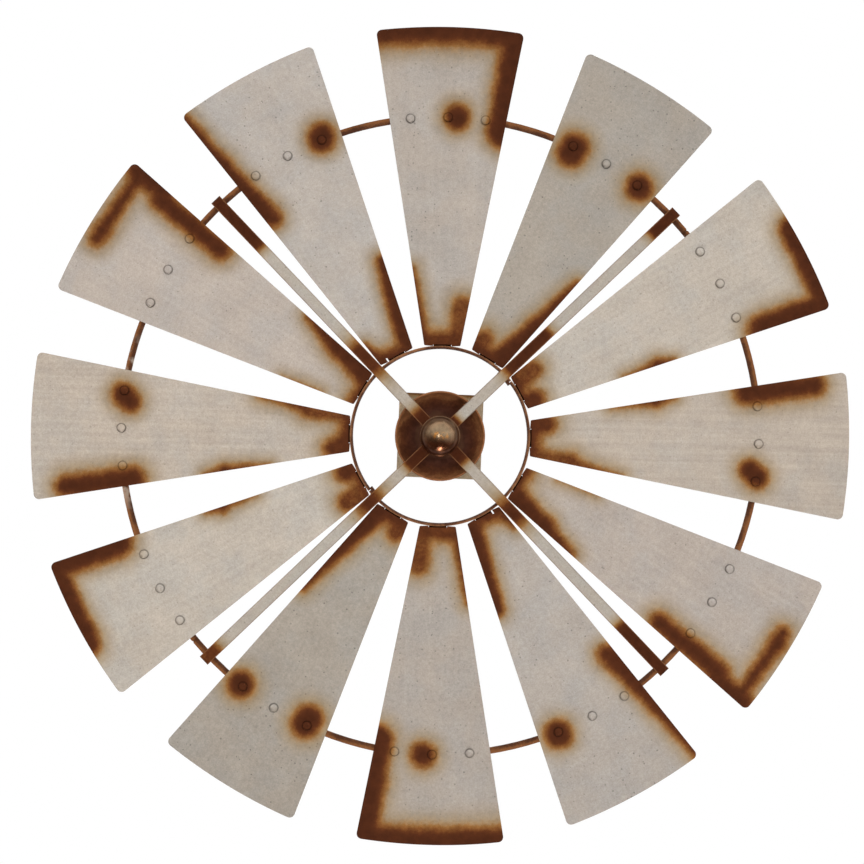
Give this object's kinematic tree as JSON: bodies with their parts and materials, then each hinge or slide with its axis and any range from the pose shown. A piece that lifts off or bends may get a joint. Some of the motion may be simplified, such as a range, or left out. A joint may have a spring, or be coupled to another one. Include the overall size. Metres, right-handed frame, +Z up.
{
  "type": "garden windmill wheel",
  "caption": "Sheet-metal windmill wheel with flat tapered blades riveted to two rings, four bar arms and a domed hub, spinning on a wall-mounted axle.",
  "frame": {"origin": "centre of the mounting plate's wall face, on the axle's axis", "axes": "+Y out of the wall face into the wall, so the wheel faces -Y; +Z up; +X to the right seen from the front"},
  "size_m": [0.915, 0.0825, 0.915],
  "materials": {
    "galvanised_sheet": "satin, galvanised grey with rust painted in soft patches",
    "galvanised_bar": "satin, galvanised grey with rust at the ends",
    "rusted_bar": "matte, rust brown",
    "painted_rivet": "satin, painted over with the blade",
    "rusted_dish": "satin, rust brown with a lighter rim",
    "bronzed_cap": "glossy, brown over bright metal",
    "turned_steel": "machined",
    "bush_bronze": "machined",
    "fastener_steel": "zinc plated",
    "plate_steel": "satin, weathered grey"
  },
  "bodies": {
    "mount": {"mounting_plate": "plate_steel", "axle": "turned_steel", "thrust_washers": "fastener_steel", "lock_nut": "fastener_steel"},
    "wheel": {"blade_01": "galvanised_sheet", "blade_02": "galvanised_sheet", "blade_03": "galvanised_sheet", "blade_04": "galvanised_sheet", "blade_05": "galvanised_sheet", "blade_06": "galvanised_sheet", "blade_07": "galvanised_sheet", "blade_08": "galvanised_sheet", "blade_09": "galvanised_sheet", "blade_10": "galvanised_sheet", "blade_11": "galvanised_sheet", "blade_12": "galvanised_sheet", "blade_rivets": "painted_rivet", "outer_ring_half_a": "rusted_bar", "outer_ring_half_b": "rusted_bar", "outer_joint_studs": "fastener_steel", "inner_ring_half_a": "rusted_bar", "inner_ring_half_b": "rusted_bar", "inner_joint_bolts": "fastener_steel", "ring_joint_nuts": "fastener_steel", "arm_1": "galvanised_bar", "arm_2": "galvanised_bar", "arm_3": "galvanised_bar", "arm_4": "galvanised_bar", "hub_dish": "rusted_dish", "hub_sleeve": "turned_steel", "rear_bush": "bush_bronze", "front_bush": "bush_bronze", "hub_cap": "bronzed_cap"}
  },
  "joints": [
    {"name": "wheel_spin", "type": "hinge", "parent": "mount", "child": "wheel", "pos_m": [0, -0.037, 0], "axis": [0, 1, 0], "continuous": true}
  ]
}
